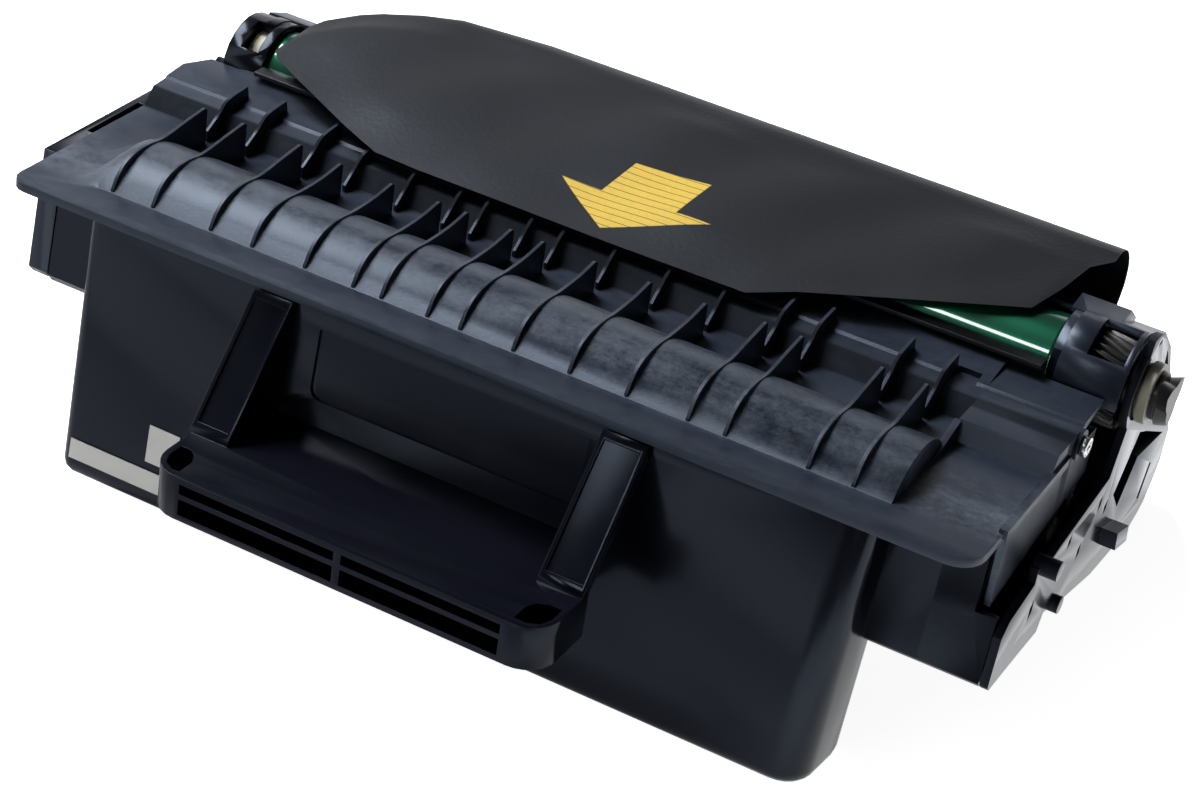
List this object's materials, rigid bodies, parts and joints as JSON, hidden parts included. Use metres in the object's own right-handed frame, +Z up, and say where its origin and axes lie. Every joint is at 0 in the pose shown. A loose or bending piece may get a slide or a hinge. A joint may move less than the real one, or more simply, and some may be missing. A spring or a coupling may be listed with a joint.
{
  "type": "toner cartridge",
  "caption": "Dark navy toner cartridge with a deep hopper, finned guide lid, slotted handle and green drum under a folded black light shield.",
  "frame": {"origin": "centre of the bounding box at the lowest point, on the surface it rests on", "axes": "+X along the lid towards the drive coupling, +Y from the handle back to the drum, +Z up as it rests"},
  "size_m": [0.3034, 0.1988, 0.0878],
  "materials": {
    "shell": "semi-gloss moulded, dark navy",
    "lid": "satin moulded, dark navy",
    "grip": "semi-gloss moulded, dark navy",
    "frame": "satin moulded, dark navy",
    "cover": "glossy moulded, dark navy",
    "drum_green": "polished green photoconductor coating",
    "cream": "satin acetal",
    "black_gear": "satin moulded",
    "grey_gear": "satin moulded",
    "rubber": "ground roller rubber",
    "foam": "open foam",
    "amber": "smooth polyurethane",
    "steel": "ground bright",
    "plated": "zinc plated sheet",
    "label": "plain coated paper",
    "film": "matt black film"
  },
  "bodies": {
    "cartridge": {"toner_housing": "shell", "hopper_lid": "lid", "handle": "grip", "drum_frame": "frame", "right_end_plate": "cover", "left_end_cap": "cover", "drum_pin": "steel", "drum_bearing": "cream", "charge_bearing_left": "cream", "charge_bearing_right": "cream", "charge_spring_left": "steel", "charge_spring_right": "steel", "cleaning_blade": "amber", "blade_bracket": "plated", "doctor_blade": "steel", "doctor_bracket": "plated", "developer_bush_left": "cream", "developer_bush_right": "cream", "toner_plug": "cream", "drum_contact": "steel", "end_screw": "steel", "label_strip": "label", "label_square": "label", "protective_sheet": "film"},
    "drum": {"drum_tube": "drum_green", "drum_flange": "cream", "drum_gear": "black_gear", "drum_coupling": "black_gear"},
    "charge": {"charge_roller": "rubber", "charge_shaft": "steel"},
    "developer": {"developer_roller": "rubber", "developer_shaft": "steel", "developer_gear": "grey_gear"},
    "supply": {"supply_roller": "foam", "supply_shaft": "steel", "supply_gear": "grey_gear"},
    "idler": {"idler_gear": "grey_gear"},
    "transfer": {"transfer_gear": "grey_gear"},
    "agitator_body": {"agitator": "grey_gear", "agitator_gear": "grey_gear"}
  },
  "joints": [
    {"name": "drum_spin", "type": "hinge", "parent": "cartridge", "child": "drum", "pos_m": [0, 0.05584, 0.06193], "axis": [1, 0, 0], "continuous": true},
    {"name": "charge_spin", "type": "hinge", "parent": "cartridge", "child": "charge", "pos_m": [0, 0.06332, 0.04523], "axis": [1, 0, 0], "continuous": true},
    {"name": "developer_spin", "type": "hinge", "parent": "cartridge", "child": "developer", "pos_m": [0, 0.03657, 0.05525], "axis": [1, 0, 0], "continuous": true},
    {"name": "supply_spin", "type": "hinge", "parent": "cartridge", "child": "supply", "pos_m": [0, 0.02131, 0.05416], "axis": [1, 0, 0], "continuous": true},
    {"name": "idler_spin", "type": "hinge", "parent": "cartridge", "child": "idler", "pos_m": [0, 0.02653, 0.04031], "axis": [1, 0, 0], "continuous": true},
    {"name": "transfer_spin", "type": "hinge", "parent": "cartridge", "child": "transfer", "pos_m": [0, 0.00762, 0.04365], "axis": [1, 0, 0], "continuous": true},
    {"name": "agitator_spin", "type": "hinge", "parent": "cartridge", "child": "agitator_body", "pos_m": [0, -0.01413, 0.05171], "axis": [1, 0, 0], "continuous": true}
  ],
  "couplings": [
    {"joint": "charge_spin", "follows": "drum_spin", "ratio": -2},
    {"joint": "developer_spin", "follows": "drum_spin", "ratio": -1.4286},
    {"joint": "supply_spin", "follows": "drum_spin", "ratio": -2.3077},
    {"joint": "idler_spin", "follows": "drum_spin", "ratio": 1.25},
    {"joint": "transfer_spin", "follows": "drum_spin", "ratio": -1.25},
    {"joint": "agitator_spin", "follows": "drum_spin", "ratio": 0.88235}
  ]
}
